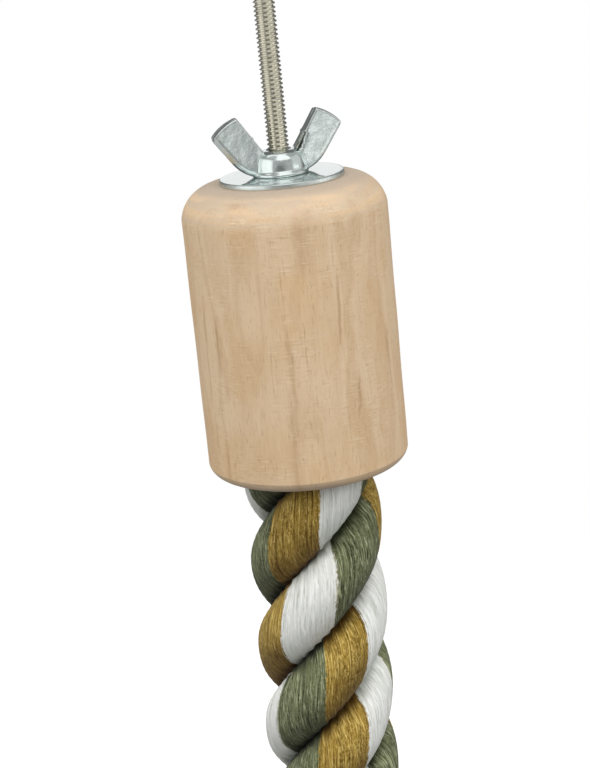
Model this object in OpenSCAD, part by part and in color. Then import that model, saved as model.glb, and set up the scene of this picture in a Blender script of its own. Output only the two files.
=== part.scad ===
// A rope perch for a bird cage: a thick laid cotton rope between two turned wooden end caps.
// Each cap carries a threaded stud with a large washer and a wing nut, which clamp it to the cage.
// Millimetres, +Z up. The origin is the centre of the upper cap's flat outer face, where it meets
// the cage. The rope hangs straight down from the upper cap to the lower one.

/* [Wooden end caps] */
// Diameter of each turned end cap
cap_d = 60.5; // [58:0.5:70]
// Length of each end cap
cap_h = 87; // [80:1:100]
// Radius of the rounded shoulder at the outer end
shoulder_r = 10.5; // [6:0.5:11]
// Radius of the rounded edge at the rope end
mouth_edge_r = 4; // [1:0.5:6]
// Depth of the socket that holds the rope's end
socket_depth = 45; // [40:1:60]
// Diameter of the hole for the stud
stud_hole_d = 6.6; // [6.5:0.1:7]

/* [Rope] */
// Diameter over the three strands
rope_d = 41; // [38:0.5:42]
// Gap between the rope's bound end and the socket's wall
socket_gap = 0.2; // [0.1:0.1:0.5]

/* [Stud] */
// Outside diameter of the thread
stud_d = 6.35; // [6.3:0.05:6.4]
// Diameter of the stretch under the parts that are screwed on it
seat_d = 6; // [5.8:0.05:6]
// Length that stands out of the cap
stud_out = 64; // [60:1:80]
// Bevel at each end of the stud
stud_bevel = 1; // [0.5:0.1:1.2]

/* [Outer washer and wing nut] */
// Diameter of the large washer
washer_d = 36.5; // [30:0.1:40]
// Thickness of the large washer
washer_t = 1.5; // [1:0.1:2]
// Diameter of the large washer's hole
washer_hole_d = 7.1; // [6.8:0.1:8]
// Diameter of the nut's boss where it sits on the washer
boss_foot_d = 16.4; // [15:0.2:18]
// Height of the foot's upright rim
boss_rim_h = 0.9; // [0.5:0.1:1.5]
// Diameter of the boss above its foot
boss_neck_d = 14.4; // [13:0.2:15]
// Height at which the foot has narrowed to the neck
boss_neck_h = 2.4; // [2:0.1:3]
// Diameter of the boss below its rounded top
boss_top_d = 13.2; // [12:0.2:14]
// Radius of the boss's rounded top edge
boss_round_r = 1.3; // [0.5:0.1:2]
// Height of the boss
boss_h = 6.4; // [5:0.1:8]
// Span over the lower corners of the two wings, before they are rounded
wing_span = 39; // [36:0.2:42]
// Height of those corners above the washer
wing_tip_h = 12.5; // [10:0.1:14]
// Width of a wing at its tip
wing_w = 9.2; // [8:0.1:10]
// Thickness of a wing
wing_t = 4.2; // [3.5:0.1:4.5]
// Angle at which the wings rise
wing_rise = 55.5; // [50:0.5:60]
// Angle by which each long edge leans in toward the root
wing_taper = 1.2; // [0:0.1:3]
// Radius of the wing's bulging end
wing_crown_r = 15; // [10:1:30]
// Radius of the heel where the wing's lower edge turns in to the foot
wing_heel_r = 12; // [9:0.5:16]
// Turn of the upper wing nut about the stud, away from the left and right
upper_nut_turn = 15; // [0:1:90]
// Turn of the lower wing nut about its own stud
lower_nut_turn = 62; // [0:1:90]
// Gap between a wing nut's hole and the thread
nut_running_gap = 0.06; // [0.03:0.01:0.09]

/* [Fastening inside each cap] */
// Diameter of the inner washer
inner_washer_d = 18.6; // [15:0.1:25]
// Diameter of the inner washer's hole
inner_washer_hole_d = 7.9; // [6.8:0.1:8]
// Thickness of the inner washer
inner_washer_t = 1.6; // [1:0.1:2]
// Width of the hexagonal nut across its flats
hex_w = 11.1; // [10:0.1:13]
// Height of the hexagonal nut
hex_h = 5.6; // [4:0.1:6.5]
// Length of stud that shows past the hexagonal nut
stud_past_hex = 1.5; // [1.2:0.1:2]
// Gap between the stud's inner end and the rope's bound end
rope_end_gap = 2; // [1:0.5:4]

/* [Hidden] */
// The free rope's centre line, from the upper cap's mouth to the lower cap's mouth
ROUTE = [[0, 0, 0], [-1.5, 0, -83], [-2, 0, -193], [-1, 0, -313], [0, 0, -436]];
ROPE_SIDES = 12;
$fn = 96;

rope_length = -ROUTE[len(ROUTE) - 1][2];
overall_h = rope_length + 2 * cap_h;
socket_d = rope_d + 2 * socket_gap;
socket_floor_z = socket_depth - cap_h;
hex_z = socket_floor_z - inner_washer_t - hex_h;
stud_inner_z = hex_z - stud_past_hex;
rope_end_z = stud_inner_z - rope_end_gap;
rope_end_h = rope_end_z + cap_h;
seat_top_z = washer_t + boss_h;
nut_hole_d = stud_d + 2 * nut_running_gap;
// How far a cutter runs past the face that it cuts
cut_over = 1;
tip_corner_r = 1.2;
top_corner_r = 0.6;
wing_root_x = 4.4;
arc_steps = 6;

// Points of an arc about a centre, from one angle to another
function arc(centre, r, from, to) = [
    for (i = [0:arc_steps])
        let (angle = from + (to - from) * i / arc_steps)
        centre + r * [cos(angle), sin(angle)]
];

// The far one of the two points of a line that lie at a distance from a centre
function far_point(start, direction, centre, distance) =
    let (
        across = start - centre,
        back = across * direction
    )
    start + direction * (sqrt(back * back - across * across + distance * distance) - back);

// The angle at which a point lies from a centre
function bearing(centre, point) = atan2(point[1] - centre[1], point[0] - centre[0]);

// A ring of points round the rope at one point of its route
function ring_at(centre, r) = [
    for (i = [0:ROPE_SIDES - 1])
        let (angle = 360 * i / ROPE_SIDES)
        centre + r * [cos(angle), sin(angle), 0]
];

// Two triangles for each side between one ring and the ring below it
function wall_faces(ring_count) = [
    for (ring = [0:ring_count - 2], i = [0:ROPE_SIDES - 1])
        let (
            a = ring * ROPE_SIDES + i,
            b = ring * ROPE_SIDES + (i + 1) % ROPE_SIDES,
            c = a + ROPE_SIDES,
            d = b + ROPE_SIDES
        )
        for (face = [[a, b, d], [a, d, c]]) face
];

// A piece that the upper end holds is drawn in place. The lower end is the same end turned over.
module at_lower_end() {
    translate([0, 0, -overall_h])
        rotate([180, 0, 0])
            children();
}

// Turned cap with a socket for the rope from below and a hole for the stud
module end_cap() {
    shoulder_x = cap_d / 2 - shoulder_r;
    mouth_x = cap_d / 2 - mouth_edge_r;
    outline = concat(
        [[stud_hole_d / 2, 0]],
        arc([shoulder_x, -shoulder_r], shoulder_r, 90, 0),
        arc([mouth_x, mouth_edge_r - cap_h], mouth_edge_r, 0, -90),
        [[socket_d / 2, -cap_h], [socket_d / 2, socket_floor_z], [stud_hole_d / 2, socket_floor_z]]
    );
    color("burlywood")
        rotate_extrude()
            polygon(outline);
}

// Stud with a bevel at each end. Its thread's full diameter starts above the seated wing nut.
module stud() {
    color("silver") {
        translate([0, 0, stud_inner_z])
            cylinder(h = stud_bevel, d1 = seat_d - 2 * stud_bevel, d2 = seat_d);
        translate([0, 0, stud_inner_z + stud_bevel])
            cylinder(h = seat_top_z - stud_inner_z - stud_bevel, d = seat_d);
        translate([0, 0, seat_top_z])
            cylinder(h = stud_out - stud_bevel - seat_top_z, d = stud_d);
        translate([0, 0, stud_out - stud_bevel])
            cylinder(h = stud_bevel, d1 = stud_d, d2 = stud_d - 2 * stud_bevel);
    }
}

module ring_washer(d, hole_d, t) {
    difference() {
        cylinder(h = t, d = d);
        translate([0, 0, -cut_over])
            cylinder(h = t + 2 * cut_over, d = hole_d);
    }
}

module inner_washer() {
    color("lightgray")
        translate([0, 0, socket_floor_z - inner_washer_t])
            ring_washer(inner_washer_d, inner_washer_hole_d, inner_washer_t);
}

// Hexagonal nut, tight on the stud under the inner washer
module inner_nut() {
    color("lightgray")
        translate([0, 0, hex_z])
            difference() {
                cylinder(h = hex_h, d = hex_w / cos(30), $fn = 6);
                translate([0, 0, -cut_over])
                    cylinder(h = hex_h + 2 * cut_over, d = seat_d);
            }
}

// The rope's end, bound with tape and glued into the socket
module rope_end() {
    color("tan")
        translate([0, 0, -cap_h])
            cylinder(h = rope_end_h, d = rope_d);
}

module large_washer() {
    color("gainsboro")
        ring_washer(washer_d, washer_hole_d, washer_t);
}

// One wing in the X-Z plane, from inside the boss to its bulging end
module wing() {
    low_angle = wing_rise - wing_taper;
    top_angle = wing_rise + wing_taper;
    low_edge = [cos(low_angle), sin(low_angle)];
    top_edge = [cos(top_angle), sin(top_angle)];
    low_out = [sin(low_angle), -cos(low_angle)];
    top_out = [-sin(top_angle), cos(top_angle)];
    along = [cos(wing_rise), sin(wing_rise)];
    across = [sin(wing_rise), -cos(wing_rise)];
    tip = [wing_span / 2, wing_tip_h];
    top = tip - wing_w * across;
    crown_depth = sqrt(wing_crown_r * wing_crown_r - wing_w * wing_w / 4);
    crown = (tip + top) / 2 - crown_depth * along;
    foot = [boss_foot_d / 2, 0];
    heel = far_point(tip - wing_heel_r * low_out, low_edge, foot, wing_heel_r);
    tip_centre = far_point(tip - tip_corner_r * low_out, low_edge, crown, wing_crown_r - tip_corner_r);
    top_centre = far_point(top - top_corner_r * top_out, top_edge, crown, wing_crown_r - top_corner_r);
    outline = concat(
        [[wing_root_x, 0]],
        arc(heel, wing_heel_r, bearing(heel, foot), low_angle - 90),
        arc(tip_centre, tip_corner_r, low_angle - 90, bearing(crown, tip_centre)),
        arc(crown, wing_crown_r, bearing(crown, tip_centre), bearing(crown, top_centre)),
        arc(top_centre, top_corner_r, bearing(crown, top_centre), top_angle + 90),
        [top + top_edge * (wing_root_x - top[0]) / top_edge[0]]
    );
    rotate([90, 0, 0])
        linear_extrude(height = wing_t, center = true)
            polygon(outline);
}

// Boss of a wing nut: an upright rim at its foot, a neck and a rounded top
module boss() {
    foot_r = boss_foot_d / 2;
    round_place = [boss_top_d / 2 - boss_round_r, boss_h - boss_round_r];
    outline = concat(
        [[0, 0], [foot_r, 0], [foot_r, boss_rim_h], [boss_neck_d / 2, boss_neck_h]],
        arc(round_place, boss_round_r, 0, 90),
        [[0, boss_h]]
    );
    rotate_extrude()
        polygon(outline);
}

// Wing nut seated on the washer, turned about the stud
module wing_nut(turn) {
    color("lightsteelblue")
        translate([0, 0, washer_t])
            rotate([0, 0, turn])
                difference() {
                    union() {
                        boss();
                        for (side = [0, 180])
                            rotate([0, 0, side])
                                wing();
                    }
                    translate([0, 0, -cut_over])
                        cylinder(h = boss_h + 2 * cut_over, d = nut_hole_d);
                }
}

// Free length of the rope between the two mouths, as a plain tube along its route
module rope() {
    points = [
        for (p = ROUTE)
            each ring_at(p, rope_d / 2)
    ];
    top_cap = [[for (i = [ROPE_SIDES - 1:-1:0]) i]];
    last = len(points) - ROPE_SIDES;
    bottom_cap = [[for (i = [0:ROPE_SIDES - 1]) last + i]];
    color("olive")
        translate([0, 0, -cap_h])
            polyhedron(points, concat(top_cap, wall_faces(len(ROUTE)), bottom_cap));
}

module upper_cap() end_cap();
module upper_stud() stud();
module upper_inner_washer() inner_washer();
module upper_inner_nut() inner_nut();
module upper_rope_end() rope_end();
module upper_washer() large_washer();
module upper_wing_nut() wing_nut(upper_nut_turn);
module lower_cap() at_lower_end() end_cap();
module lower_stud() at_lower_end() stud();
module lower_inner_washer() at_lower_end() inner_washer();
module lower_inner_nut() at_lower_end() inner_nut();
module lower_rope_end() at_lower_end() rope_end();
module lower_washer() at_lower_end() large_washer();
module lower_wing_nut() at_lower_end() wing_nut(lower_nut_turn);

upper_cap();
upper_stud();
upper_inner_washer();
upper_inner_nut();
upper_rope_end();
upper_washer();
upper_wing_nut();
rope();
lower_rope_end();
lower_inner_nut();
lower_inner_washer();
lower_stud();
lower_cap();
lower_washer();
lower_wing_nut();
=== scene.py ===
import math
import random

import bmesh
import bpy
import numpy as np
from mathutils import Matrix, Vector, noise


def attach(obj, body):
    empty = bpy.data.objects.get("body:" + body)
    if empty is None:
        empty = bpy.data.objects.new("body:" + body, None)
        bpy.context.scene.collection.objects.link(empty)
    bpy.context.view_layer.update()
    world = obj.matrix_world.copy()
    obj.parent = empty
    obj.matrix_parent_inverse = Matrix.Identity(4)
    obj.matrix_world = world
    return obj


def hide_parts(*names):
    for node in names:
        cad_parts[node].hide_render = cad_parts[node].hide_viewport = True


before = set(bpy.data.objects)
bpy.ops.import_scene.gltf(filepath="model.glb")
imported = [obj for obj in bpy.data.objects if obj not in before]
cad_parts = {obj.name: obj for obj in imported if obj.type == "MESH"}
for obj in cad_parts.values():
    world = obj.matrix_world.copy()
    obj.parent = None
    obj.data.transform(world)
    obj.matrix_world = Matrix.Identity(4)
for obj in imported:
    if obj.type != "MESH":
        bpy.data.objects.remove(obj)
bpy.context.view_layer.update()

MM = 0.001
TAU = 2 * math.pi

# Sizes of the perch in millimetres, as the part's source has them
CAP_D = 60.5
CAP_H = 87.0
SHOULDER_R = 10.5
MOUTH_EDGE_R = 4.0
SOCKET_DEPTH = 45.0
SOCKET_D = 41.4
STUD_HOLE_D = 6.6
OVERALL_H = 610.0
STUD_D = 6.35
THREAD_PITCH = 1.27
STUD_BEVEL = 1.0
STUD_OUT = 64.0
STUD_INNER_Z = -50.7
WASHER_D = 36.5
WASHER_T = 1.5
WASHER_HOLE_D = 7.1
BOSS_FOOT_D = 16.4
BOSS_RIM_H = 0.9
BOSS_NECK_D = 14.4
BOSS_H = 6.4
NUT_HOLE_D = 6.47
WING_SPAN = 39.0
WING_TIP_H = 12.5
WING_W = 9.2
WING_T = 4.2
WING_RISE = 55.5
WING_TAPER = 1.2
WING_CROWN_R = 15.0
WING_HEEL_R = 12.0
TIP_CORNER_R = 1.2
TOP_CORNER_R = 0.6
WING_ROOT_X = 4.4
UPPER_NUT_TURN = math.radians(15)
LOWER_NUT_TURN = math.radians(62)

# The free rope's centre line, from the upper cap's mouth to the lower cap's mouth
ROUTE = [(0, 0, 0), (-1.5, 0, -83), (-2, 0, -193), (-1, 0, -313), (0, 0, -436)]

# The lower end is the upper end turned over about the X axis
LOWER_END = Matrix.Translation((0, 0, -OVERALL_H * MM)) @ Matrix.Rotation(math.pi, 4, "X")
UPPER_END = Matrix.Identity(4)


def new_object(name, data):
    made = bpy.data.objects.new(name, data)
    bpy.context.scene.collection.objects.link(made)
    return made


def mesh_object(name, points, faces):
    mesh = bpy.data.meshes.new(name)
    mesh.from_pydata([tuple(p) for p in points], [], faces)
    return new_object(name, mesh)


# Camera: a long lens a little above the cap, leaning a few degrees to the side

CAMERA_PLACE = Vector((-2.0, -546.4, 93.1)) * MM
CAMERA_PITCH = math.radians(15.87)
CAMERA_ROLL = math.radians(5.73)
CAMERA_LENS = 88.8


def add_camera():
    data = bpy.data.cameras.new("camera")
    data.lens = CAMERA_LENS
    data.sensor_width = 36.0
    data.clip_end = 50.0
    camera = new_object("camera", data)
    forward = Vector((0, math.cos(CAMERA_PITCH), -math.sin(CAMERA_PITCH)))
    side = Vector((1, 0, 0))
    above = side.cross(forward)
    right = side * math.cos(CAMERA_ROLL) - above * math.sin(CAMERA_ROLL)
    top = above * math.cos(CAMERA_ROLL) + side * math.sin(CAMERA_ROLL)
    turn = Matrix((right, top, -forward)).transposed().to_4x4()
    camera.matrix_world = Matrix.Translation(CAMERA_PLACE) @ turn
    bpy.context.scene.camera = camera


# Shader helpers

def linear(red, green, blue):
    """A colour given as the screen shows it, 0 to 255, as the shader's linear values."""
    def one(value):
        share = value / 255
        if share <= 0.04045:
            return share / 12.92
        return ((share + 0.055) / 1.055) ** 2.4
    return (one(red), one(green), one(blue), 1.0)


class Nodes:
    """Builds the node tree of one material or world."""

    def __init__(self, tree):
        self.tree = tree

    def add(self, kind, inputs=None, **settings):
        node = self.tree.nodes.new("ShaderNode" + kind)
        for key, value in settings.items():
            setattr(node, key, value)
        for key, value in (inputs or {}).items():
            self.put(node.inputs[key], value)
        return node

    def put(self, socket, value):
        if isinstance(value, bpy.types.NodeSocket):
            self.tree.links.new(value, socket)
        else:
            socket.default_value = value

    def set(self, **inputs):
        shader = self.tree.nodes["Principled BSDF"]
        for key, value in inputs.items():
            self.put(shader.inputs[key.replace("_", " ")], value)

    def place(self):
        return self.add("TexCoord").outputs["Object"]

    def uv(self, name):
        return self.add("UVMap", uv_map=name).outputs["UV"]

    def scaled(self, vector, scale, location=(0, 0, 0)):
        return self.add("Mapping", {"Vector": vector, "Scale": scale, "Location": location}).outputs[0]

    def noise(self, vector, scale, detail=2.0, roughness=0.5):
        inputs = {"Vector": vector, "Scale": scale, "Detail": detail, "Roughness": roughness}
        return self.add("TexNoise", inputs).outputs["Fac"]

    def ramp(self, value, low, high, to_low=0.0, to_high=1.0):
        inputs = {"Value": value, "From Min": low, "From Max": high, "To Min": to_low, "To Max": to_high}
        return self.add("MapRange", inputs, interpolation_type="SMOOTHSTEP").outputs["Result"]

    def math(self, operation, first, second=0.0):
        return self.add("Math", {0: first, 1: second}, operation=operation).outputs[0]

    def times(self, first, second):
        return self.math("MULTIPLY", first, second)

    def larger(self, first, second):
        return self.math("MAXIMUM", first, second)

    def apart(self, first, second):
        return self.math("ABSOLUTE", self.math("SUBTRACT", first, second))

    def window(self, value, start, full, fade, end):
        """1 between full and fade, falling to 0 at start and at end."""
        return self.times(self.ramp(value, start, full), self.ramp(value, end, fade))

    def blend(self, share, first, second):
        return self.add("Mix", {0: share, 2: first, 3: second}, data_type="FLOAT").outputs[0]

    def split(self, vector):
        return self.add("SeparateXYZ", {0: vector}).outputs

    def turn(self, parts):
        """The turn about the Z axis from the front, in degrees, more to the right."""
        return self.math("DEGREES", self.math("ARCTAN2", parts["X"], self.times(parts["Y"], -1.0)))

    def mix(self, share, first, second):
        return self.add("Mix", {0: share, 6: first, 7: second}, data_type="RGBA").outputs[2]

    def bump(self, height, distance, strength):
        inputs = {"Height": height, "Distance": distance, "Strength": strength}
        return self.add("Bump", inputs).outputs["Normal"]


def new_material(name):
    material = bpy.data.materials.new(name)
    material.use_nodes = True
    return material, Nodes(material.node_tree)


# Materials

WOOD_TAN = linear(219, 193, 160)
WOOD_WARM = linear(215, 184, 145)
# The shoulder's colour: partly the grey of its end grain, partly painted shade against the light from
# above
WOOD_SHOULDER_SHADE = linear(184, 168, 148)
WOOD_BAND = linear(196, 163, 125)
WOOD_STREAK = linear(156, 112, 70)
WOOD_LIGHT = linear(230, 210, 180)
# The flat faces' end grain, darkened further as painted shade against the light from above
WOOD_END_GRAIN_SHADE = linear(160, 147, 132)
PITH_PLACE = (0.012, 0.075, 0.0)
# Streaks in the upper cap: angle from the front and half width in degrees, height and half length in
# metres, and depth of colour
STREAKS = [
    (-29.0, 13.0, -0.0027, 0.0011, 0.45),
    (-12.0, 16.0, -0.0062, 0.0009, 0.25),
    (-49.5, 2.0, -0.044, 0.011, 0.75),
    (-6.5, 7.0, -0.072, 0.022, 0.46),
    (-5.5, 2.2, -0.050, 0.016, 0.5),
    (7.0, 10.0, -0.014, 0.013, 0.4),
    (24.0, 1.5, -0.034, 0.015, 0.6),
    (31.5, 1.6, -0.060, 0.008, 0.6),
    (59.0, 2.2, -0.055, 0.015, 0.6),
]


def add_rings(n, place, colour):
    """Growth rings round a pith far off the axis, which sway along the grain."""
    sway = n.times(n.noise(n.scaled(place, (1.0, 1.0, 0.22)), 60.0, 3.0), 0.022)
    level = n.scaled(place, (1, 1, 0.02))
    from_pith = n.add("VectorMath", {0: level, 1: PITH_PLACE}, operation="DISTANCE").outputs["Value"]
    inputs = {"W": n.math("ADD", from_pith, sway), "Scale": 330.0, "Detail": 3.0, "Roughness": 0.6}
    ring = n.add("TexNoise", inputs, noise_dimensions="1D").outputs["Fac"]
    colour = n.mix(n.ramp(ring, 0.44, 0.76, 0.0, 0.42), colour, WOOD_BAND)
    return n.mix(n.ramp(ring, 0.46, 0.26, 0.0, 0.15), colour, WOOD_LIGHT)


def add_end_grain_and_top_shade(n, place, upward, end_grain, colour):
    """Greyer end grain on the flat faces and a greyer shoulder, partly the end grain's own colour and
    partly painted shade against the light from above, and bands that the lathe swept round the shoulder.
    """
    # Partly end grain, partly painted shade on the flat faces
    colour = n.mix(n.times(end_grain, 0.92), colour, WOOD_END_GRAIN_SHADE)
    # Painted shade on the shoulder, partly the grey of its end grain
    shoulder = n.window(upward, 0.02, 0.3, 0.75, 0.98)
    colour = n.mix(n.times(shoulder, 0.5), colour, WOOD_SHOULDER_SHADE)
    swept = n.noise(n.scaled(place, (0.12, 0.12, 1.0), (0.0, 0.0, 0.02)), 420.0, 1.0)
    colour = n.mix(n.times(shoulder, n.ramp(swept, 0.46, 0.66, 0.0, 0.5)), colour, WOOD_WARM)
    return n.mix(n.times(shoulder, n.ramp(swept, 0.46, 0.34, 0.0, 0.25)), colour, WOOD_BAND)


def add_streaks(n, place, blotch, streak, colour):
    """The upper cap's own streaks. The blotches bend them, and the fine streaks fray them."""
    parts = n.split(place)
    turn = n.math("ADD", n.turn(parts), n.times(n.math("SUBTRACT", blotch, 0.5), 12.0))
    for angle, half_width, height, half_length, depth in STREAKS:
        across = n.ramp(n.apart(turn, angle), half_width, 0.0)
        share = n.times(across, n.ramp(n.apart(parts["Z"], height), half_length, half_length * 0.3))
        share = n.times(share, n.ramp(streak, 0.38, 0.6, 0.3 * depth, 0.85 * depth))
        colour = n.mix(share, colour, WOOD_STREAK)
    return colour


def add_lathe_marks(n, dash, patch, colour):
    """Short light and dark dashes across the fibres, which the lathe left in patches."""
    mark = n.times(n.ramp(dash, 0.56, 0.68), patch)
    colour = n.mix(n.times(mark, 0.5), colour, WOOD_LIGHT)
    gap = n.times(n.ramp(dash, 0.44, 0.32), patch)
    return n.mix(n.times(gap, 0.6), colour, WOOD_BAND)


def wood_material():
    """Bare turned wood: rings, streaks, fibres and pores along its grain, and lathe marks round it."""
    material, n = new_material("turned_wood")
    place = n.place()
    upward = n.math("ABSOLUTE", n.split(n.add("NewGeometry").outputs["Normal"])["Z"])
    end_grain = n.ramp(upward, 0.4, 1.0)
    blotch = n.noise(n.scaled(place, (1, 1, 0.7)), 60.0, 4.0, 0.55)
    colour = n.mix(n.ramp(blotch, 0.4, 0.62), WOOD_TAN, WOOD_WARM)
    colour = add_rings(n, place, colour)
    streaked = n.ramp(n.noise(n.scaled(place, (1, 1, 0.5), (0.2, 0.1, 0.0)), 40.0), 0.46, 0.6)
    streak = n.noise(n.scaled(place, (1.0, 1.0, 0.06), (0.31, 0.0, 0.07)), 300.0, 4.0, 0.65)
    colour = n.mix(n.times(n.ramp(streak, 0.57, 0.7, 0.0, 0.5), streaked), colour, WOOD_STREAK)
    colour = add_end_grain_and_top_shade(n, place, upward, end_grain, colour)
    colour = add_streaks(n, place, blotch, streak, colour)
    fibre = n.noise(n.scaled(place, (1.0, 1.0, 0.05)), 2400.0, 2.0, 0.6)
    colour = n.mix(n.ramp(fibre, 0.45, 0.7, 0.0, 0.2), colour, WOOD_BAND)
    pores = n.ramp(n.noise(n.scaled(place, (1.0, 1.0, 0.12)), 3000.0, 1.0), 0.62, 0.72)
    colour = n.mix(n.times(pores, 0.3), colour, WOOD_STREAK)
    dash = n.noise(n.scaled(place, (0.13, 0.13, 1.0)), 2200.0, 3.0, 0.65)
    patch = n.ramp(n.noise(place, 85.0, 3.0), 0.42, 0.6, 0.1, 1.0)
    patch = n.times(patch, n.ramp(end_grain, 0.0, 0.3, 1.0, 0.0))
    colour = add_lathe_marks(n, dash, patch, colour)
    n.set(Base_Color=colour, Roughness=n.ramp(fibre, 0.3, 0.7, 0.55, 0.68), Specular_IOR_Level=0.3)
    height = n.math("ADD", n.times(fibre, 0.5), n.times(dash, 0.3))
    height = n.math("SUBTRACT", height, n.times(pores, 0.5))
    n.set(Normal=n.bump(height, 0.0001, 0.6))
    return material


ZINC_BRIGHT = linear(229, 236, 236)
ZINC_DULL = linear(196, 210, 200)
# Painted shade for the hollow of the forging's flaw
HOLLOW_SHADE = linear(74, 76, 70)
# A finish is how dull, how rough and how pitted the plating is
ROLLED = (0.3, 0.07, 0.05)
DRAWN = (0.5, 0.1, 0.15)
FORGED = (0.55, 0.22, 0.25)
CUT = (0.6, 0.28, 0.3)
# A finish gives way to another within this distance of a radius, in metres
FINISH_BLEND = 0.0004
# A washer has its rolled finish inside the first radius. All of a wing nut is inside the second
ROLLED_R = 0.0177
NUT_R = 0.03


def zinc_material(name, radius, inner, outer):
    """Zinc plating in faint patches, with scuffs, and painted shade, a dark colour, in the hollow where
    the mesh has a flaw. One finish is inside a radius, where the surface runs round the axis. The other
    is everywhere else."""
    material, n = new_material(name)
    place = n.place()
    parts = n.split(place)
    out = n.math("SQRT", n.math("ADD", n.times(parts["X"], parts["X"]), n.times(parts["Y"], parts["Y"])))
    normal = n.add("TexCoord").outputs["Normal"]
    crossed = n.add("VectorMath", {0: place, 1: normal}, operation="CROSS_PRODUCT").outputs[0]
    sideways = n.math("DIVIDE", n.math("ABSOLUTE", n.split(crossed)["Z"]), out)
    past_radius = n.ramp(out, radius - FINISH_BLEND, radius + FINISH_BLEND)
    outside = n.larger(past_radius, n.ramp(sideways, 0.35, 0.7))
    dullness, roughness, pitting = (n.blend(outside, a, b) for a, b in zip(inner, outer))
    bloom = n.noise(place, 330.0, 4.0, 0.62)
    dull = n.times(n.ramp(bloom, 0.3, 0.7, 0.25, 0.85), dullness)
    # Painted shade: the flaw's hollow is coloured dark and made rougher
    shaded_hollow = n.ramp(n.add("Attribute", attribute_name="flaw").outputs["Fac"], 0.2, 0.5)
    n.set(Base_Color=n.mix(shaded_hollow, n.mix(dull, ZINC_BRIGHT, ZINC_DULL), HOLLOW_SHADE), Metallic=1.0)
    roughness = n.times(roughness, n.ramp(bloom, 0.35, 0.7, 1.0, 1.3))
    n.set(Roughness=n.blend(shaded_hollow, roughness, 0.5))
    pits = n.noise(place, 1100.0, 4.0, 0.62)
    worn = n.ramp(n.noise(n.scaled(place, (1, 1, 1), (0.1, 0.2, 0.3)), 260.0), 0.5, 0.6)
    scuff = n.times(n.ramp(n.apart(n.noise(place, 620.0, 2.0, 0.6), 0.5), 0.02, 0.004), worn)
    height = n.times(n.math("SUBTRACT", pits, n.times(scuff, 0.6)), pitting)
    n.set(Normal=n.bump(height, 0.0003, 0.5))
    return material


STEEL_WARM = linear(220, 217, 203)
STEEL_DARK = linear(140, 132, 118)


def steel_material():
    """Plain steel thread, slightly warm, stained here and there."""
    material, n = new_material("stud_steel")
    place = n.place()
    stain = n.noise(n.scaled(place, (1, 1, 0.4)), 700.0, 3.0, 0.6)
    n.set(Base_Color=n.mix(n.ramp(stain, 0.5, 0.8, 0.0, 0.4), STEEL_WARM, STEEL_DARK), Metallic=1.0)
    n.set(Roughness=n.ramp(stain, 0.3, 0.7, 0.1, 0.18))
    n.set(Normal=n.bump(n.noise(place, 3000.0, 2.0), 0.00003, 0.3))
    return material


# Each kind of fibre in ochre, white and green yarn. The dark one is also the colour of the painted shade
# between and under the strands
YARN_LIGHT = [linear(226, 198, 118), linear(252, 252, 249), linear(182, 188, 152)]
YARN_BASE = [linear(160, 131, 58), linear(234, 235, 230), linear(108, 113, 80)]
YARN_DARK = [linear(76, 50, 4), linear(188, 191, 181), linear(26, 31, 10)]
YARN_MATTED = [0.85, 0.25, 0.5]


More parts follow.
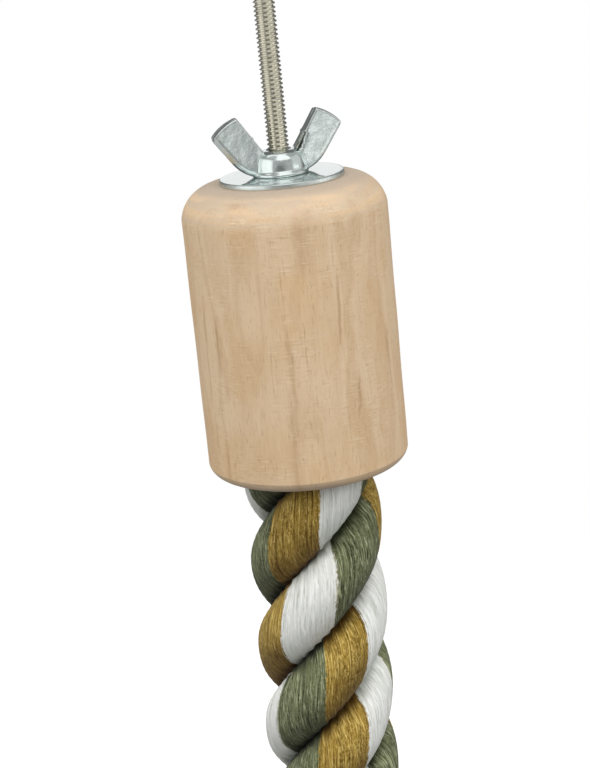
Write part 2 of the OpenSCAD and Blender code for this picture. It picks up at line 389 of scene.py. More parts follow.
def rope_material():
    """Soft cotton yarn. Its map runs round a strand and along its yarn, in metres, and a second one
    gives the depth between the strands, and where the point is among ochre, white and green."""
    material, n = new_material("cotton_yarn")
    yarn = n.uv("yarn")
    # Fibres along the yarn, its plies, hairs astray across it, and the fuzz and curls of matted yarn
    fibre = n.noise(n.scaled(yarn, (1.0, 0.05, 1.0)), 1900.0, 3.0, 0.7)
    ply = n.noise(n.scaled(yarn, (1.0, 0.02, 1.0)), 520.0, 2.0, 0.5)
    astray = n.add("VectorRotate", {"Vector": yarn, "Angle": 0.16}).outputs[0]
    hairs = n.noise(n.scaled(astray, (1.0, 0.12, 1.0)), 1700.0)
    fuzz = n.noise(n.scaled(yarn, (1.0, 0.5, 1.0)), 1300.0, 4.0, 0.75)
    curls = n.noise(n.scaled(yarn, (1.0, 0.5, 1.0)), 850.0, 3.0, 0.6)
    curls = n.ramp(n.apart(curls, 0.5), 0.03, 0.005)
    patch = n.noise(n.scaled(yarn, (1.0, 0.5, 1.0)), 150.0, 2.0)
    # Which yarn this is. Fibres of one yarn stray into the next
    facts = n.split(n.uv("facts"))
    place = n.math("ADD", facts["Y"], n.times(n.math("SUBTRACT", n.math("ADD", fibre, fuzz), 1.0), 0.14))
    place = n.add("Math", {0: place, 1: 3.0, 2: 0.0}, operation="WRAP").outputs[0]
    is_white = n.window(place, 0.98, 1.02, 1.98, 2.02)
    is_green = n.ramp(place, 1.98, 2.02)

    def of_yarn(colours):
        return n.mix(is_green, n.mix(is_white, colours[0], colours[1]), colours[2])

    light = of_yarn(YARN_LIGHT)
    base = of_yarn(YARN_BASE)
    dark = of_yarn(YARN_DARK)
    matted = n.blend(is_green, n.blend(is_white, YARN_MATTED[0], YARN_MATTED[1]), YARN_MATTED[2])
    matted = n.times(matted, n.ramp(patch, 0.35, 0.65, 0.35, 1.0))
    parting = n.noise(n.scaled(yarn, (1.0, 0.012, 1.0)), 420.0, 1.0)
    parting = n.ramp(n.apart(parting, 0.5), 0.02, 0.004)
    # The dark between plies and fibres, then the light on fibres and hairs, then what is matted
    colour = n.mix(n.ramp(ply, 0.36, 0.56, 0.35, 0.0), base, dark)
    colour = n.mix(n.ramp(fibre, 0.48, 0.36, 0.0, 0.9), colour, dark)
    colour = n.mix(n.ramp(fibre, 0.54, 0.66, 0.0, 0.7), colour, light)
    colour = n.mix(n.ramp(hairs, 0.57, 0.66, 0.0, 0.7), colour, light)
    colour = n.mix(n.times(n.ramp(fuzz, 0.48, 0.36), matted), colour, dark)
    colour = n.mix(n.times(n.ramp(fuzz, 0.54, 0.68), matted), colour, light)
    colour = n.mix(n.times(n.times(curls, matted), 0.7), colour, light)
    colour = n.mix(n.times(parting, matted), colour, dark)
    # Painted shade: the yarn is darkened deep between the strands, in the creases
    colour = n.mix(n.ramp(facts["X"], 0.0, n.ramp(patch, 0.35, 0.6, 0.72, 0.5), 0.9, 0.0), colour, dark)
    # Painted shade on faces that turn downward, stronger where the yarn is matted
    downward = n.split(n.add("NewGeometry").outputs["Normal"])["Z"]
    colour = n.mix(n.ramp(downward, 0.0, -0.6, 0.0, 0.4), colour, dark)
    colour = n.mix(n.times(n.ramp(downward, 0.2, -0.4, 0.0, 0.6), matted), colour, dark)
    n.set(Base_Color=colour, Roughness=n.ramp(fibre, 0.3, 0.7, 0.8, 0.95), Specular_IOR_Level=0.12)
    n.set(Sheen_Weight=0.07, Sheen_Roughness=0.5)
    height = n.math("ADD", n.times(fibre, 0.8), n.times(hairs, 0.5))
    height = n.math("ADD", height, n.times(n.math("ADD", ply, fuzz), 0.4))
    n.set(Normal=n.bump(height, 0.0006, 0.8))
    return material


TAPE_DARK = linear(176, 160, 128)
TAPE_LIGHT = linear(206, 193, 164)


def tape_material():
    """Matte cloth tape, wound round the rope's end."""
    material, n = new_material("binding_tape")
    place = n.place()
    weft = n.noise(n.scaled(place, (1, 1, 0.2)), 1800.0)
    warp = n.noise(n.scaled(place, (0.2, 0.2, 1)), 1800.0)
    weave = n.times(weft, warp)
    n.set(Base_Color=n.mix(n.ramp(weave, 0.15, 0.35), TAPE_DARK, TAPE_LIGHT))
    n.set(Roughness=n.ramp(weave, 0.15, 0.35, 0.75, 0.9), Normal=n.bump(weave, 0.0002, 0.5))
    return material


# Mesh helpers

def new_piece(name, points, faces, material, body, replaced):
    """A smooth-shaded mesh piece from points in metres, riding on a body."""
    piece = mesh_object(name, points, faces)
    piece.data.materials.append(material)
    piece.data.polygons.foreach_set("use_smooth", [True] * len(faces))
    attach(piece, body)
    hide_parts(*replaced)
    return piece


def arc(centre, radius, start, stop, steps):
    """Points of an arc in an outline, by angles in degrees."""
    points = []
    for i in range(steps + 1):
        angle = math.radians(start + (stop - start) * i / steps)
        points.append((centre[0] + radius * math.cos(angle), centre[1] + radius * math.sin(angle)))
    return points


def straight(start, stop, steps):
    """Points between two outline points, without the two themselves."""
    return [
        (start[0] + (stop[0] - start[0]) * i / steps, start[1] + (stop[1] - start[1]) * i / steps)
        for i in range(1, steps)
    ]


def lathe(outline, segments, shape=None):
    """Points and faces of a closed outline turned about the Z axis. shape(radius, angle, z) may move
    a radius."""
    points = []
    for i in range(segments):
        angle = TAU * i / segments
        for radius, z in outline:
            r = shape(radius, angle, z) if shape else radius
            points.append((r * math.cos(angle) * MM, r * math.sin(angle) * MM, z * MM))
    count = len(outline)
    faces = []
    for i in range(segments):
        j = (i + 1) % segments
        for a in range(count):
            b = (a + 1) % count
            faces.append((i * count + a, i * count + b, j * count + b, j * count + a))
    return points, faces


def moved(points, matrix):
    return [matrix @ Vector(p) for p in points]


def finish_mesh(mesh_data, sharp_degrees=None):
    """Turns the faces of a closed mesh outward and breaks smooth shading at sharp edges."""
    mesh = bmesh.new()
    mesh.from_mesh(mesh_data)
    bmesh.ops.recalc_face_normals(mesh, faces=mesh.faces)
    if sharp_degrees is not None:
        limit = math.radians(sharp_degrees)
        for edge in mesh.edges:
            edge.smooth = edge.calc_face_angle(0.0) < limit
    mesh.to_mesh(mesh_data)
    mesh.free()


# Rope: three strands, each of three colours of yarn

LAY = 82.66
# A strand's section: half its depth and half its width, and how far its middle is from the rope's
STRAND_DEPTH = 10.48
STRAND_WIDTH = 12.65
STRAND_PLACE = 10.08
LAY_START_Z = -150.0
LAY_START = 0.7675
YARN_TURNS = 2.18
YARN_SWELL = 0.45
SECTOR = math.radians(59.3)
NEWTON_STEPS = 12
STRAND_COLUMNS = 168
ROW_STEP = 2.5
INTO_SOCKET = 12.0
CORD_STEPS = 32
# Grooves between yarns, with the least and most of their widths in columns, of their depths, and of how
# fast these change with height
GROOVES = 26
GROOVE_SEED = 31
GROOVE_WIDTHS = (0.6, 1.0)
GROOVE_DEPTHS = (0.06, 0.26)
GROOVE_RATES = (0.03, 0.12)
# A strand's slow swells, as (height, change for each millimetre, change for each strand)
SWELLS = [(0.1, 0.11, 2.1), (0.08, 0.31, 1.0)]
# Depths between the strands go from 0 at the first radius to 1 at the second
VALLEY_R = 14.2
CREST_R = 20.4
# Where ochre, white and green begin round each strand, in degrees
COLOUR_STARTS = [(33, 142, 238), (18, 147, 261), (325, 55, 215)]
# The last strand has more white at the upper cap's mouth, where the cap holds its yarn turned
WHITE_AT_MOUTH = 26
MOUTH_TURN_FROM_Z = -114.0
MOUTH_TURN_TO_Z = -98.0
# The strands' cut ends, inside the caps, are at depth 1 and white
END_FACTS = (1.0, 1.5)


def route_at(z):
    """The rope's centre at a height, on one smooth curve through the route. Millimetres."""
    drop = min(0.0, max(ROUTE[-1][2], z + CAP_H))
    heights = [p[2] for p in ROUTE]
    sides = [p[0] for p in ROUTE]
    last = len(ROUTE) - 1
    slopes = [0.0] * (last + 1)
    for i in range(1, last):
        slopes[i] = (sides[i + 1] - sides[i - 1]) / (heights[i + 1] - heights[i - 1])
    i = 0
    while i < last - 1 and drop < heights[i + 1]:
        i += 1
    span = heights[i + 1] - heights[i]
    t = (drop - heights[i]) / span
    side = (
        (2 * t ** 3 - 3 * t ** 2 + 1) * sides[i]
        + (t ** 3 - 2 * t ** 2 + t) * span * slopes[i]
        + (3 * t ** 2 - 2 * t ** 3) * sides[i + 1]
        + (t ** 3 - t ** 2) * span * slopes[i + 1]
    )
    return side, 0.0


def section_angles(material_angles):
    """The angle round a strand's section at which yarns of these angles lie, by Newton's method."""
    angle = material_angles.copy()
    for _ in range(NEWTON_STEPS):
        error = angle + YARN_SWELL * np.sin(angle) - material_angles
        angle -= error / (1 + YARN_SWELL * np.cos(angle))
    return angle


def groove_field(seed):
    """A function of height that gives the depth of the grooves at each column, in millimetres."""
    draw = random.Random(seed)
    columns = np.arange(STRAND_COLUMNS)
    grooves = []
    for i in range(GROOVES):
        place = (i + draw.uniform(0.2, 0.8)) * STRAND_COLUMNS / GROOVES
        away = np.abs(columns - place)
        away = np.minimum(away, STRAND_COLUMNS - away)
        width = draw.uniform(*GROOVE_WIDTHS)
        depth = draw.uniform(*GROOVE_DEPTHS)
        profile = depth * np.exp(-((away / width) ** 2))
        grooves.append((profile, draw.uniform(*GROOVE_RATES), draw.uniform(0, TAU)))

    def at(z):
        return sum(profile * (0.6 + 0.4 * math.sin(rate * z + phase)) for profile, rate, phase in grooves)
    return at


def colour_places(angles, index, z):
    """Where yarns of these angles are among the colours: from 0 for ochre, from 1 for white and from 2
    for green, up to 3."""
    starts = list(COLOUR_STARTS[index])
    if index == 2:
        share = (z - MOUTH_TURN_FROM_Z) / (MOUTH_TURN_TO_Z - MOUTH_TURN_FROM_Z)
        starts[2] += WHITE_AT_MOUTH * min(1.0, max(0.0, share))
    first = math.radians(starts[0])
    ends = [(math.radians(s) - first) % TAU for s in starts[1:]] + [TAU]
    return np.interp((angles - first) % TAU, [0] + ends, [0, 1, 2, 3])


def strand_rings(index, heights, angles):
    """One strand's points, depths and colours at each height and at each angle round its section."""
    grooves = groove_field(GROOVE_SEED + index)
    points = np.zeros((len(heights), STRAND_COLUMNS, 3))
    depth = np.zeros((len(heights), STRAND_COLUMNS + 1))
    colour = np.zeros_like(depth)
    for row, z in enumerate(heights):
        turn = TAU * (z - LAY_START_Z) / LAY
        azimuth = LAY_START + turn + index * TAU / 3
        angle = section_angles(angles[:-1] - YARN_TURNS * turn)
        swell = sum(high * math.sin(z * rate + index * shift) for high, rate, shift in SWELLS)
        swell = swell - grooves(z)
        out = STRAND_PLACE + (STRAND_DEPTH + swell) * np.cos(angle)
        across = (STRAND_WIDTH + swell) * np.sin(angle)
        radius = np.hypot(out, across)
        aside = np.clip(np.arctan2(across, out), -SECTOR, SECTOR)
        centre = route_at(z)
        points[row, :, 0] = centre[0] + radius * np.cos(azimuth + aside)
        points[row, :, 1] = centre[1] + radius * np.sin(azimuth + aside)
        points[row, :, 2] = z
        depth[row, :-1] = (radius - VALLEY_R) / (CREST_R - VALLEY_R)
        colour[row] = colour_places(angles, index, z)
    depth[:, -1] = depth[:, 0]
    return points, depth, colour


def strand_faces(rows):
    """The faces between a strand's rings, and one face at each end."""
    count = STRAND_COLUMNS
    faces = []
    for row in range(rows):
        for column in range(count):
            a = row * count + column
            b = row * count + (column + 1) % count
            faces.append((a, a + count, b + count, b))
    faces.append(tuple(range(count)))
    faces.append(tuple(rows * count + i for i in reversed(range(count))))
    return faces


def strand_maps(index, drop, points, depth, colour, angles):
    """Two maps for each corner of a strand's faces: its place round the strand and along the yarn in
    metres, and its depth and colour."""
    rows = len(points) - 1
    count = STRAND_COLUMNS
    left = colour[:, :-1]
    right = np.where(colour[:, 1:] < left - 1, colour[:, 1:] + 3, colour[:, 1:])
    round_strand = angles * STRAND_DEPTH * MM
    along = np.arange(rows + 1)[:, None] * drop / rows * MM + index + np.zeros((1, count))
    yarn_map = np.zeros((rows, count, 4, 2))
    facts_map = np.zeros_like(yarn_map)
    upper = slice(0, rows)
    lower = slice(1, rows + 1)
    near = slice(0, count)
    far = slice(1, count + 1)
    corners = ((upper, near, left), (lower, near, left), (lower, far, right), (upper, far, right))
    for corner, (row_part, column_part, colours) in enumerate(corners):
        yarn_map[:, :, corner, 0] = round_strand[column_part]
        yarn_map[:, :, corner, 1] = along[row_part]
        facts_map[:, :, corner, 0] = depth[row_part, column_part]
        facts_map[:, :, corner, 1] = colours[row_part]
    ends = np.concatenate([points[0], points[rows][::-1]])[:, :2] * MM + (0, index)
    yarn_map = np.concatenate([yarn_map.ravel(), ends.ravel()])
    facts_map = np.concatenate([facts_map.ravel(), np.tile(END_FACTS, 2 * count)])
    return yarn_map, facts_map


def strand(index, top, bottom):
    """Points, faces and each corner's two maps for one strand."""
    rows = int(round((top - bottom) / ROW_STEP))
    heights = [top + (bottom - top) * row / rows for row in range(rows + 1)]
    angles = np.arange(STRAND_COLUMNS + 1) * TAU / STRAND_COLUMNS
    points, depth, colour = strand_rings(index, heights, angles)
    yarn_map, facts_map = strand_maps(index, top - bottom, points, depth, colour, angles)
    return points.reshape(-1, 3) * MM, strand_faces(rows), yarn_map, facts_map


def add_rope():
    top = -CAP_H + INTO_SOCKET
    bottom = -OVERALL_H + CAP_H - INTO_SOCKET
    strands = [strand(index, top, bottom) for index in range(3)]
    points, own_faces, yarn_maps, facts_maps = zip(*strands)
    faces = []
    for index in range(3):
        shift = index * len(points[0])
        faces += [tuple(v + shift for v in face) for face in own_faces[index]]
    points = np.concatenate(points)
    rope = new_piece("rope_strands", points, faces, rope_material(), "perch", ["rope"])
    for name, maps in (("yarn", yarn_maps), ("facts", facts_maps)):
        layer = rope.data.uv_layers.new(name=name)
        layer.uv.foreach_set("vector", np.concatenate(maps))
    finish_mesh(rope.data)
    free = OVERALL_H - 2 * CAP_H
    for i in range(CORD_STEPS + 1):
        z = -CAP_H - free * i / CORD_STEPS
        x, y = route_at(z)


# Turned wooden caps

CAP_SEGMENTS = 144
SHOULDER_KINK = 9
MOUTH_KINK = 14
ARRIS_HALF = 0.5
HOLE_BEVEL = 0.4
# How far a cap's radius wanders as an oval and as three lobes, how fast the lobes creep round, and the
# height over which both grow, from the outer face down
CAP_OVAL = 0.05
CAP_LOBES = 0.04
LOBES_CREEP = 0.21
WANDER_GROWS = 8


def cap_outline():
    """Closed outline of a cap, with a faint edge at each end of its straight wall."""
    wall = CAP_D / 2
    flat = wall - SHOULDER_R
    shoulder_r = SHOULDER_R / math.cos(math.radians(SHOULDER_KINK))
    mouth_r = MOUTH_EDGE_R / math.cos(math.radians(MOUTH_KINK))
    hole = STUD_HOLE_D / 2
    socket = SOCKET_D / 2
    floor = SOCKET_DEPTH - CAP_H
    shoulder = arc((flat, -shoulder_r), shoulder_r, 90, SHOULDER_KINK, 22)
    foot = arc((wall - MOUTH_EDGE_R, mouth_r - CAP_H), mouth_r, -MOUTH_KINK, -90, 12)
    outline = [(hole, floor), (hole, -HOLE_BEVEL), (hole + HOLE_BEVEL, 0)]
    outline += straight(outline[-1], shoulder[0], 6) + shoulder
    outline.append((wall, shoulder[-1][1] - ARRIS_HALF))
    outline += straight(outline[-1], foot[0], 24) + foot
    outline += [(socket + HOLE_BEVEL, -CAP_H), (socket, HOLE_BEVEL - CAP_H), (socket, floor)]
    return outline


def turned_by_hand(phase):
    """A turned surface is never quite true: its radius wanders by a few hundredths of a millimetre."""
    def shape(radius, angle, z):
        if radius < SOCKET_D / 2 + 1:
            return radius
        oval = CAP_OVAL * math.sin(2 * angle + phase)
        lobes = CAP_LOBES * math.sin(z * LOBES_CREEP + 3 * angle + phase)
        return radius + (oval + lobes) * min(1.0, -z / WANDER_GROWS)
    return shape


def add_cap(name, node, end, phase, material):
    points, faces = lathe(cap_outline(), CAP_SEGMENTS, turned_by_hand(phase))
    cap = new_piece(name, moved(points, end), faces, material, "perch", [node])
    finish_mesh(cap.data, sharp_degrees=12)


# Threaded studs

THREAD_SEGMENTS = 40
THREAD_ROOT_R = 2.56
CREST_ROUND = 0.07
# Points nearer than this are one point, in metres
MERGE_DISTANCE = 0.000004


def thread_profile():
    """One pitch of the thread as (share of the pitch, radius)."""
    crest = STUD_D / 2
    below_crest = crest - CREST_ROUND
    root = [(0.0, THREAD_ROOT_R), (0.13, THREAD_ROOT_R)]
    return root + [(0.44, below_crest), (0.50, crest), (0.63, crest), (0.69, below_crest)]


def close_ends(mesh_data):
    """Merges the points that meet where the thread is cut off, and fills the holes at the stud's ends."""
    mesh = bmesh.new()
    mesh.from_mesh(mesh_data)
    bmesh.ops.remove_doubles(mesh, verts=mesh.verts, dist=MERGE_DISTANCE)
    open_edges = [e for e in mesh.edges if e.is_boundary]
    bmesh.ops.holes_fill(mesh, edges=open_edges, sides=0)
    mesh.to_mesh(mesh_data)
    mesh.free()


def add_stud(name, node, end, material):
    """One right-hand thread swept along the stud, closed at both bevelled ends."""
    profile = thread_profile()
    per_turn = len(profile)
    turns = int((STUD_OUT - STUD_INNER_Z) / THREAD_PITCH) + 2
    column = turns * per_turn
    points = []
    for i in range(THREAD_SEGMENTS):
        angle = TAU * i / THREAD_SEGMENTS
        for row in range(column):
            share, radius = profile[row % per_turn]
            z = STUD_INNER_Z + THREAD_PITCH * (row // per_turn + share + i / THREAD_SEGMENTS - 1)
            z = min(STUD_OUT, max(STUD_INNER_Z, z))
            from_end = min(STUD_OUT - z, z - STUD_INNER_Z)
            radius = min(radius, STUD_D / 2 - STUD_BEVEL + from_end)
            points.append((radius * math.cos(angle) * MM, radius * math.sin(angle) * MM, z * MM))
    faces = []
    for i in range(THREAD_SEGMENTS):
        shift = 0 if i < THREAD_SEGMENTS - 1 else per_turn
        j = (i + 1) % THREAD_SEGMENTS
        for row in range(column - 1 - shift):
            a = i * column + row
            b = j * column + row + shift
            faces.append((a, b, b + 1, a + 1))
    stud = new_piece(name, moved(points, end), faces, material, "perch", [node])
    close_ends(stud.data)
    finish_mesh(stud.data, sharp_degrees=50)


# Washers and wing nuts

WASHER_SEGMENTS = 128
WASHER_SHIFT = Matrix.Translation((0.00025, 0, 0))
WASHER_ROLL = 0.4
WASHER_BURR = 0.1


def add_washer(name, node, end, material):
    """A punched washer, a little off centre: rolled over at its upper rim, square below."""
    rim = WASHER_D / 2
    hole = WASHER_HOLE_D / 2
    face = rim - WASHER_ROLL
    outline = [(hole, 0), (hole, WASHER_T - WASHER_BURR), (hole + WASHER_BURR, WASHER_T)]
    outline += straight(outline[-1], (face, WASHER_T), 4)
    outline += arc((face, WASHER_T - WASHER_ROLL), WASHER_ROLL, 90, 0, 5)
    outline += [(rim, WASHER_BURR), (rim - WASHER_BURR, 0)]
    points, faces = lathe(outline, WASHER_SEGMENTS)
    points = moved(moved(points, WASHER_SHIFT), end)
    washer = new_piece(name, points, faces, material, node, [node])
    finish_mesh(washer.data, sharp_degrees=40)


NUT_SEGMENTS = 96
NUT_VOXEL = 0.24
RIM_ROUND = 0.3
BORE_BEVEL = 0.5
LOW_EDGE_ROUND = 1.3
HIGH_EDGE_BEVEL = 0.35
# The small step in each wing's upper edge, near the boss
STEP_X = 7.9
STEP_H = 0.16
# A flaw in the forging, a hollow along one corner of a wing's upper edge. Its edge wanders in short waves
FLAW_FROM = Vector((5.6, -2.0, 7.5))
FLAW_TO = Vector((7.4, -1.5, 10.8))
FLAW_R = 0.8
FLAW_DEPTH = 1.3
FLAW_WANDER = 0.25
FLAW_WAVE = 0.6
# How far the skin wanders from its true shape, and how wide its waves are
BOSS_WANDER = (0.06, 2.6)
WING_WANDERS = [(0.025, 2.2), (0.012, 0.8)]
# The wings are thicker where they leave the boss
WING_SWELL = 0.3
SWELL_LENGTH = 4.0
SWELL_MARGIN = 0.5
# The forging ridge round the middle of a wing's edge, as (place across the edge, height)
RIDGE = [(-0.45, 0.0), (-0.22, 0.22), (0.22, 0.22), (0.45, 0.0)]


def far_point(start, direction, centre, distance):
    """The far one of the two points of a line that lie at a distance from a centre."""
    across = start - centre
    back = across.dot(direction)
    return start + direction * (math.sqrt(back * back - across.dot(across) + distance * distance) - back)


def bearing(centre, point):
    """The angle round a centre at which a point lies, in degrees."""
    return math.degrees(math.atan2(point.y - centre.y, point.x - centre.x))


def toward(degrees):
    """The unit vector at an angle."""
    return Vector((math.cos(math.radians(degrees)), math.sin(math.radians(degrees))))


def wing_outline():
    """One wing in the X-Z plane as (x, z, rounding of its edge there)."""
    low_angle = WING_RISE - WING_TAPER
    top_angle = WING_RISE + WING_TAPER
    low_edge = toward(low_angle)
    top_edge = toward(top_angle)
    low_out = toward(low_angle - 90)
    top_out = toward(top_angle + 90)
    tip = Vector((WING_SPAN / 2, WING_TIP_H))
    top = tip - WING_W * toward(WING_RISE - 90)
    crown_depth = math.sqrt(WING_CROWN_R ** 2 - WING_W ** 2 / 4)
    crown = (tip + top) / 2 - crown_depth * toward(WING_RISE)
    foot = Vector((BOSS_FOOT_D / 2 - RIM_ROUND, RIM_ROUND))
    heel = far_point(tip - WING_HEEL_R * low_out, low_edge, foot, WING_HEEL_R)
    tip_centre = far_point(tip - TIP_CORNER_R * low_out, low_edge, crown, WING_CROWN_R - TIP_CORNER_R)
    top_centre = far_point(top - TOP_CORNER_R * top_out, top_edge, crown, WING_CROWN_R - TOP_CORNER_R)
    corner = arc(tip_centre, TIP_CORNER_R, low_angle - 90, bearing(crown, tip_centre), 5)
    low = arc(heel, WING_HEEL_R, bearing(heel, foot), low_angle - 90, 10) + corner[:3]
    high = corner[3:]
    high += arc(crown, WING_CROWN_R, bearing(crown, tip_centre), bearing(crown, top_centre), 8)[1:]
    high += arc(top_centre, TOP_CORNER_R, bearing(crown, top_centre), top_angle + 90, 4)[1:]
    root = top + top_edge * ((WING_ROOT_X - top.x) / top_edge.x)
    step = top + top_edge * ((STEP_X - top.x) / top_edge.x)
    # Points along the upper edge, as (distance before the step, height over the edge)
    for back, proud in ((0.5, 0.0), (0.1, STEP_H), (-0.1, -STEP_H), (-2.0, -STEP_H)):
        place = step - top_edge * back + top_out * proud
        high.append((place.x, place.y))
    high.append((root.x, root.y))
    outline = [(WING_ROOT_X, RIM_ROUND, 0.2)]
    outline += [(x, z, LOW_EDGE_ROUND) for x, z in low]
    outline += [(x, z, HIGH_EDGE_BEVEL) for x, z in high]
    return outline


def wing_solid(side):
    """A wing with rounded lower edges, bevelled upper ones and a low forging ridge round its middle."""
    outline = wing_outline()
    count = len(outline)
    places = [Vector((x, z)) for x, z, _ in outline]
    inward = []
    for i in range(count):
        before = (places[i] - places[i - 1]).normalized()
        after = (places[(i + 1) % count] - places[i]).normalized()
        along = (before + after).normalized()
        inward.append(Vector((-along.y, along.x)))
    half = WING_T / 2

    def edge_ring(face, step):
        share = math.radians(step)
        ring = []
        for place, inner, (_, _, rounding) in zip(places, inward, outline):
            spot = place + inner * rounding * (1 - math.cos(share))
            ring.append((spot, face * (half - rounding * (1 - math.sin(share)))))
        return ring

    rings = [edge_ring(-1, step) for step in (90, 60, 30, 0)]
    for y, height in RIDGE:
        rings.append([(place - inner * height, y) for place, inner in zip(places, inward)])
    rings += [edge_ring(1, step) for step in (0, 30, 60, 90)]
    points = [(side * spot.x * MM, side * y * MM, spot.y * MM) for ring in rings for spot, y in ring]
    faces = [tuple(range(count)), tuple(reversed(range(len(points) - count, len(points))))]
    for ring in range(len(rings) - 1):
        for i in range(count):
            j = (i + 1) % count
            a = ring * count
            faces.append((a + j, a + i, a + i + count, a + j + count))
    return points, faces


BOSS_CROWN_R = 3.2
BOSS_CROWN_H = 0.85
# The boss's wall bulges a little: its slope at the top and at the bottom in degrees, and its radius
WALL_SLOPES = (12, 3)
WALL_R = 18.0
FLARE_R = 1.0


def boss_solid():
    """The boss: a wall that leans in and rounds over into its crown, and a flared foot."""
    hole = NUT_HOLE_D / 2
    foot = BOSS_FOOT_D / 2
    top = BOSS_H + BOSS_CROWN_H
    crown = (BOSS_NECK_D / 2 - BOSS_CROWN_R, top - BOSS_CROWN_R)
    wall = Vector(crown) + toward(WALL_SLOPES[0]) * (BOSS_CROWN_R - WALL_R)
    flare = wall + toward(WALL_SLOPES[1]) * (WALL_R + FLARE_R)
    outline = [(hole, 0), (hole, top - BORE_BEVEL), (hole + BORE_BEVEL, top)]
    outline += arc(crown, BOSS_CROWN_R, 90, WALL_SLOPES[0], 12)
    outline += arc(wall, WALL_R, *WALL_SLOPES, 6)[1:]
    outline += arc(flare, FLARE_R, 180 + WALL_SLOPES[1], 238, 6)[1:]
    outline += arc((foot - RIM_ROUND, BOSS_RIM_H - RIM_ROUND), RIM_ROUND, 60, -10, 3)
    outline += [(foot - 0.05, 0.15), (foot - 0.25, 0)]
    return lathe(outline, NUT_SEGMENTS)


def nut_skin():
    """The boss and both wings joined, as one mesh of small even faces."""
    solids = (boss_solid(), wing_solid(1), wing_solid(-1))
    parts = [mesh_object("nut_part", *solid) for solid in solids]
    for part in parts:
        finish_mesh(part.data)
    whole = parts[0]
    for wing in parts[1:]:
        union = whole.modifiers.new("join", "BOOLEAN")
        union.operation = "UNION"
        union.solver = "EXACT"
        union.object = wing
    remesh = whole.modifiers.new("remesh", "REMESH")
    remesh.mode = "VOXEL"
    remesh.voxel_size = NUT_VOXEL * MM
    smooth = whole.modifiers.new("smooth", "SMOOTH")
    smooth.factor = 0.5
    smooth.iterations = 2
    bpy.context.view_layer.update()
    graph = bpy.context.evaluated_depsgraph_get()
    skin = bpy.data.meshes.new_from_object(whole.evaluated_get(graph))
    for part in parts:
        bpy.data.objects.remove(part)
    return skin


def skin_wander(place, out):
    """How far a forging's skin stands off its true shape at a place this far out from the axis."""
    wander = 0.0
    if out > BOSS_FOOT_D / 2 + 0.5:
        wander = sum(noise.noise(place / wave) * depth for depth, wave in WING_WANDERS)
    # The boss's waves fade out near its bore, its rim and its underside
    on_boss = min(1.0, max(0.0, BOSS_FOOT_D / 2 + 1.0 - out), max(0.0, out - WING_ROOT_X))
    on_boss *= min(1.0, max(0.0, place.z / BOSS_RIM_H - 0.3))
    return wander + noise.noise(place / BOSS_WANDER[1]) * BOSS_WANDER[0] * on_boss


def wing_swell(place, normal, out):
    """How much thicker a wing's face is here than at its tip. The bore's wall keeps its place."""
    on_wing = abs(place.y) < WING_T / 2 + SWELL_MARGIN and out > WING_ROOT_X
    if not on_wing:
        return 0.0
    from_boss = max(0.0, out - BOSS_NECK_D / 2)
    return WING_SWELL * math.exp(-from_boss / SWELL_LENGTH) * normal.y ** 2


def flaw_share(place):
    """1 on the flaw's own line, falling to 0 away from it."""
    way = FLAW_TO - FLAW_FROM
    share = min(1.0, max(0.0, (place - FLAW_FROM).dot(way) / way.length_squared))
    away = (place - FLAW_FROM - way * share).length + noise.noise(place / FLAW_WAVE) * FLAW_WANDER
    return math.exp(-((away / FLAW_R) ** 2))


def forged_nut():
    """Points, faces and flaws of a wing nut's skin, with the unevenness of a forging."""
    skin = nut_skin()
    points = []
    flaws = []
    for vertex in skin.vertices:
        place = vertex.co / MM
        out = math.hypot(place.x, place.y)
        flaw = flaw_share(place)
        proud = skin_wander(place, out) + wing_swell(place, vertex.normal, out) - FLAW_DEPTH * flaw
        points.append(tuple(vertex.co + vertex.normal * proud * MM))
        flaws.append(flaw)
    faces = [tuple(p.vertices) for p in skin.polygons]
    return points, faces, flaws


def add_wing_nut(name, node, end, turn, shape, material):
    points, faces, flaws = shape
    seat = end @ Matrix.Translation((0, 0, WASHER_T * MM)) @ Matrix.Rotation(turn, 4, "Z")
    nut = new_piece(name, moved(points, seat), faces, material, node, [node])
    nut.data.attributes.new("flaw", "FLOAT", "POINT").data.foreach_set("value", flaws)
    finish_mesh(nut.data)


# What is inside the caps

BOUND_TOP_Z = -53.0
BOUND_R = 17.5
BOUND_ROUND = 2
BOUND_SEGMENTS = 96
# A lathe's outline keeps off the axis by this much
AXIS_GAP = 0.5
# The tape's turns, and how far each stands proud of the core where it starts and where it ends
TAPE_TURNS = 6
TAPE_STARTS = 0.35
TAPE_ENDS = 0.3
# The three strands show through the tape as lobes, which turn by so much a millimetre
STRAND_LOBES = 0.8
LOBES_TURN = 0.076


def lobed(radius, angle, z):
    if radius < 2 * AXIS_GAP:
        return radius
    return radius + STRAND_LOBES * math.cos(3 * angle + z * LOBES_TURN)


def add_bound_end(name, node, end, material):
    """The taped end of the rope in its socket, with the tape's turns as low ridges."""
    bottom = -CAP_H + INTO_SOCKET - 1.0
    start = BOUND_TOP_Z - BOUND_ROUND
    outline = [(AXIS_GAP, bottom), (AXIS_GAP, BOUND_TOP_Z)]
    outline += arc((BOUND_R - BOUND_ROUND, start), BOUND_ROUND, 90, 0, 5)
    height = (start - bottom) / TAPE_TURNS
    for i in range(TAPE_TURNS):
        z = start - i * height
        outline.append((BOUND_R + TAPE_STARTS, z - 0.2 * height))
        outline.append((BOUND_R + TAPE_ENDS, z - 0.9 * height))
        outline.append((BOUND_R, z - height))
    points, faces = lathe(outline, BOUND_SEGMENTS, lobed)
    piece = new_piece(name, moved(points, end), faces, material, "perch", [node])
    finish_mesh(piece.data, sharp_degrees=50)


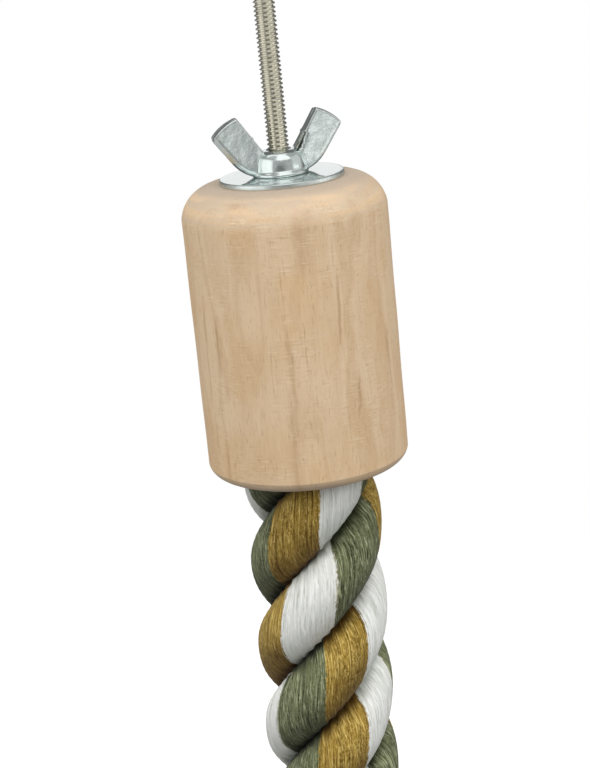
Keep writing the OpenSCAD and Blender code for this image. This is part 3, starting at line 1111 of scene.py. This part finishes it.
def dress_hidden_nodes(zinc):
    """The washer and nut inside each cap keep their solids and get the plating."""
    for node in ("upper_inner_washer", "upper_inner_nut", "lower_inner_washer", "lower_inner_nut"):
        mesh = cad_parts[node].data
        mesh.materials.clear()
        mesh.materials.append(zinc)


# Surroundings

# The tent's brightness goes from the third value to the fourth between these two heights
TENT = (-0.2, 0.65, 0.12, 1.05)
# What metal mirrors: turn and rise in degrees, each as (from, full, fading, to), and brightness
SOFT_BOXES = [
    ((-102, -84, -42, -20), (-35, -15, 20, 40), 1.25),
    ((-40, -5, 50, 72), (17, 28, 95, 100), 1.25),
    ((36, 68, 104, 122), (-60, -45, 30, 42), 0.7),
    ((13, 38, 95, 112), (-27, -19, -9, -3), 1.35),
    ((60, 67, 88, 96), (-10, -6, 1, 5), 1.25),
    ((-118, -105, -70, -50), (40, 52, 70, 82), 1.1),
    ((-130, -110, 110, 130), (58, 74, 95, 100), 1.0),
]
FRONT_GAP = ((-24, -13, 12, 32), (-35, -15, 5, 14), 0.22)
BETWEEN_BOXES = 0.46
BESIDE_BACKDROP = 0.17
# How far to the side the gaps get darker, and the backdrop begins
BESIDE_TURN = (112, 132)
BACKDROP_TURN = (163, 172)
BACKDROP_RISE = (-25, -15, 18, 30)
BACKDROP_LEVEL = 0.95


def world_light():
    """A soft tent, brighter above than below. Metal sees a studio instead: soft boxes to the left, the
    right and above, a white backdrop straight behind, and dark gaps between them."""
    world = bpy.data.worlds.new("studio")
    bpy.context.scene.world = world
    world.use_nodes = True
    world.node_tree.nodes.clear()
    n = Nodes(world.node_tree)
    way = n.split(n.add("TexCoord").outputs["Generated"])
    tent = n.ramp(way["Z"], *TENT)
    turn = n.turn(way)
    rise = n.math("DEGREES", n.math("ARCSINE", way["Z"]))
    gap = n.times(n.window(turn, *FRONT_GAP[0]), n.window(rise, *FRONT_GAP[1]))
    away = n.math("ABSOLUTE", turn)
    between = n.blend(n.ramp(away, *BESIDE_TURN), BETWEEN_BOXES, BESIDE_BACKDROP)
    mirrored = n.blend(gap, between, FRONT_GAP[2])
    for across, upward, brightness in SOFT_BOXES:
        box = n.times(n.window(turn, *across), n.window(rise, *upward))
        mirrored = n.larger(mirrored, n.times(box, brightness))
    behind = n.times(n.ramp(away, *BACKDROP_TURN), n.window(rise, *BACKDROP_RISE))
    mirrored = n.larger(mirrored, n.times(behind, BACKDROP_LEVEL))
    path = n.add("LightPath").outputs
    shiny = n.larger(path["Is Glossy Ray"], path["Is Transmission Ray"])
    level = n.blend(path["Is Camera Ray"], n.blend(shiny, tent, mirrored), 1.0)
    light = n.add("Background", {"Color": (1, 1, 1, 1), "Strength": level})
    out = n.add("OutputWorld")
    n.tree.links.new(light.outputs[0], out.inputs["Surface"])


# Each lamp's name, place, size and power. All are aimed at one place
LAMPS = [
    ("lamp_top", (0, -0.45, 1.1), (1.1, 0.8), 6.8),
    ("lamp_left", (-1.05, -0.75, 0.55), (0.5, 0.9), 5.3),
    ("lamp_right", (1.05, -0.75, 0.55), (0.5, 0.9), 6.2),
]
LAMP_TARGET = Vector((0, 0, -0.1))


def add_lamp(name, place, size, power):
    data = bpy.data.lights.new(name, "AREA")
    data.shape = "RECTANGLE"
    data.size, data.size_y = size
    data.energy = power
    lamp = new_object(name, data)
    lamp.location = place
    # The world has its own soft boxes for what metal mirrors
    lamp.visible_glossy = False
    aim = LAMP_TARGET - Vector(place)
    lamp.rotation_euler = aim.to_track_quat("-Z", "Y").to_euler()


FLOOR_Z = -0.73
FLOOR_RADIUS = 1.6
FLOOR_SIDES = 96
FLOOR_GREY = (0.26, 0.26, 0.26, 1)
# How much the floor shows of its own to the camera, and which share of that metal mirrors
FLOOR_GLOW = 0.84
FLOOR_MIRRORED = 0.25


def add_floor():
    """A pale round floor that shows white to the camera and keeps the perch's shadow."""
    material, n = new_material("floor_pale")
    diffuse = n.add("BsdfDiffuse", {"Color": FLOOR_GREY})
    path = n.add("LightPath").outputs
    seen = n.larger(path["Is Camera Ray"], n.times(path["Is Glossy Ray"], FLOOR_MIRRORED))
    glow = n.add("Emission", {"Color": (1, 1, 1, 1), "Strength": n.times(seen, FLOOR_GLOW)})
    both = n.add("AddShader", {0: diffuse.outputs[0], 1: glow.outputs[0]})
    n.tree.links.new(both.outputs[0], n.tree.nodes["Material Output"].inputs["Surface"])
    n.tree.nodes.remove(n.tree.nodes["Principled BSDF"])
    angles = [TAU * i / FLOOR_SIDES for i in range(FLOOR_SIDES)]
    corners = [(FLOOR_RADIUS * math.cos(a), FLOOR_RADIUS * math.sin(a), FLOOR_Z) for a in angles]
    floor = mesh_object("floor", corners, [tuple(range(FLOOR_SIDES))])
    floor.data.materials.append(material)


# Each end's name, place, the turn of its nut and the phase of its cap's wander
ENDS = [
    ("upper", UPPER_END, UPPER_NUT_TURN, 5.0),
    ("lower", LOWER_END, LOWER_NUT_TURN, 2.0),
]


def build():
    add_camera()
    add_rope()
    wood = wood_material()
    steel = steel_material()
    sheet_zinc = zinc_material("zinc_sheet", ROLLED_R, ROLLED, CUT)
    forged_zinc = zinc_material("zinc_forged", NUT_R, DRAWN, FORGED)
    tape = tape_material()
    nut = forged_nut()
    for side, end, turn, phase in ENDS:
        add_cap(side + "_turned_cap", side + "_cap", end, phase, wood)
        add_stud(side + "_threaded_stud", side + "_stud", end, steel)
        add_bound_end(side + "_bound_end", side + "_rope_end", end, tape)
        add_washer(side + "_large_washer", side + "_washer", end, sheet_zinc)
        add_wing_nut(side + "_forged_wing_nut", side + "_wing_nut", end, turn, nut, forged_zinc)
    dress_hidden_nodes(sheet_zinc)
    add_floor()
    world_light()
    for lamp in LAMPS:
        add_lamp(*lamp)


build()
bpy.context.scene.view_settings.view_transform = "Standard"
bpy.context.view_layer.update()
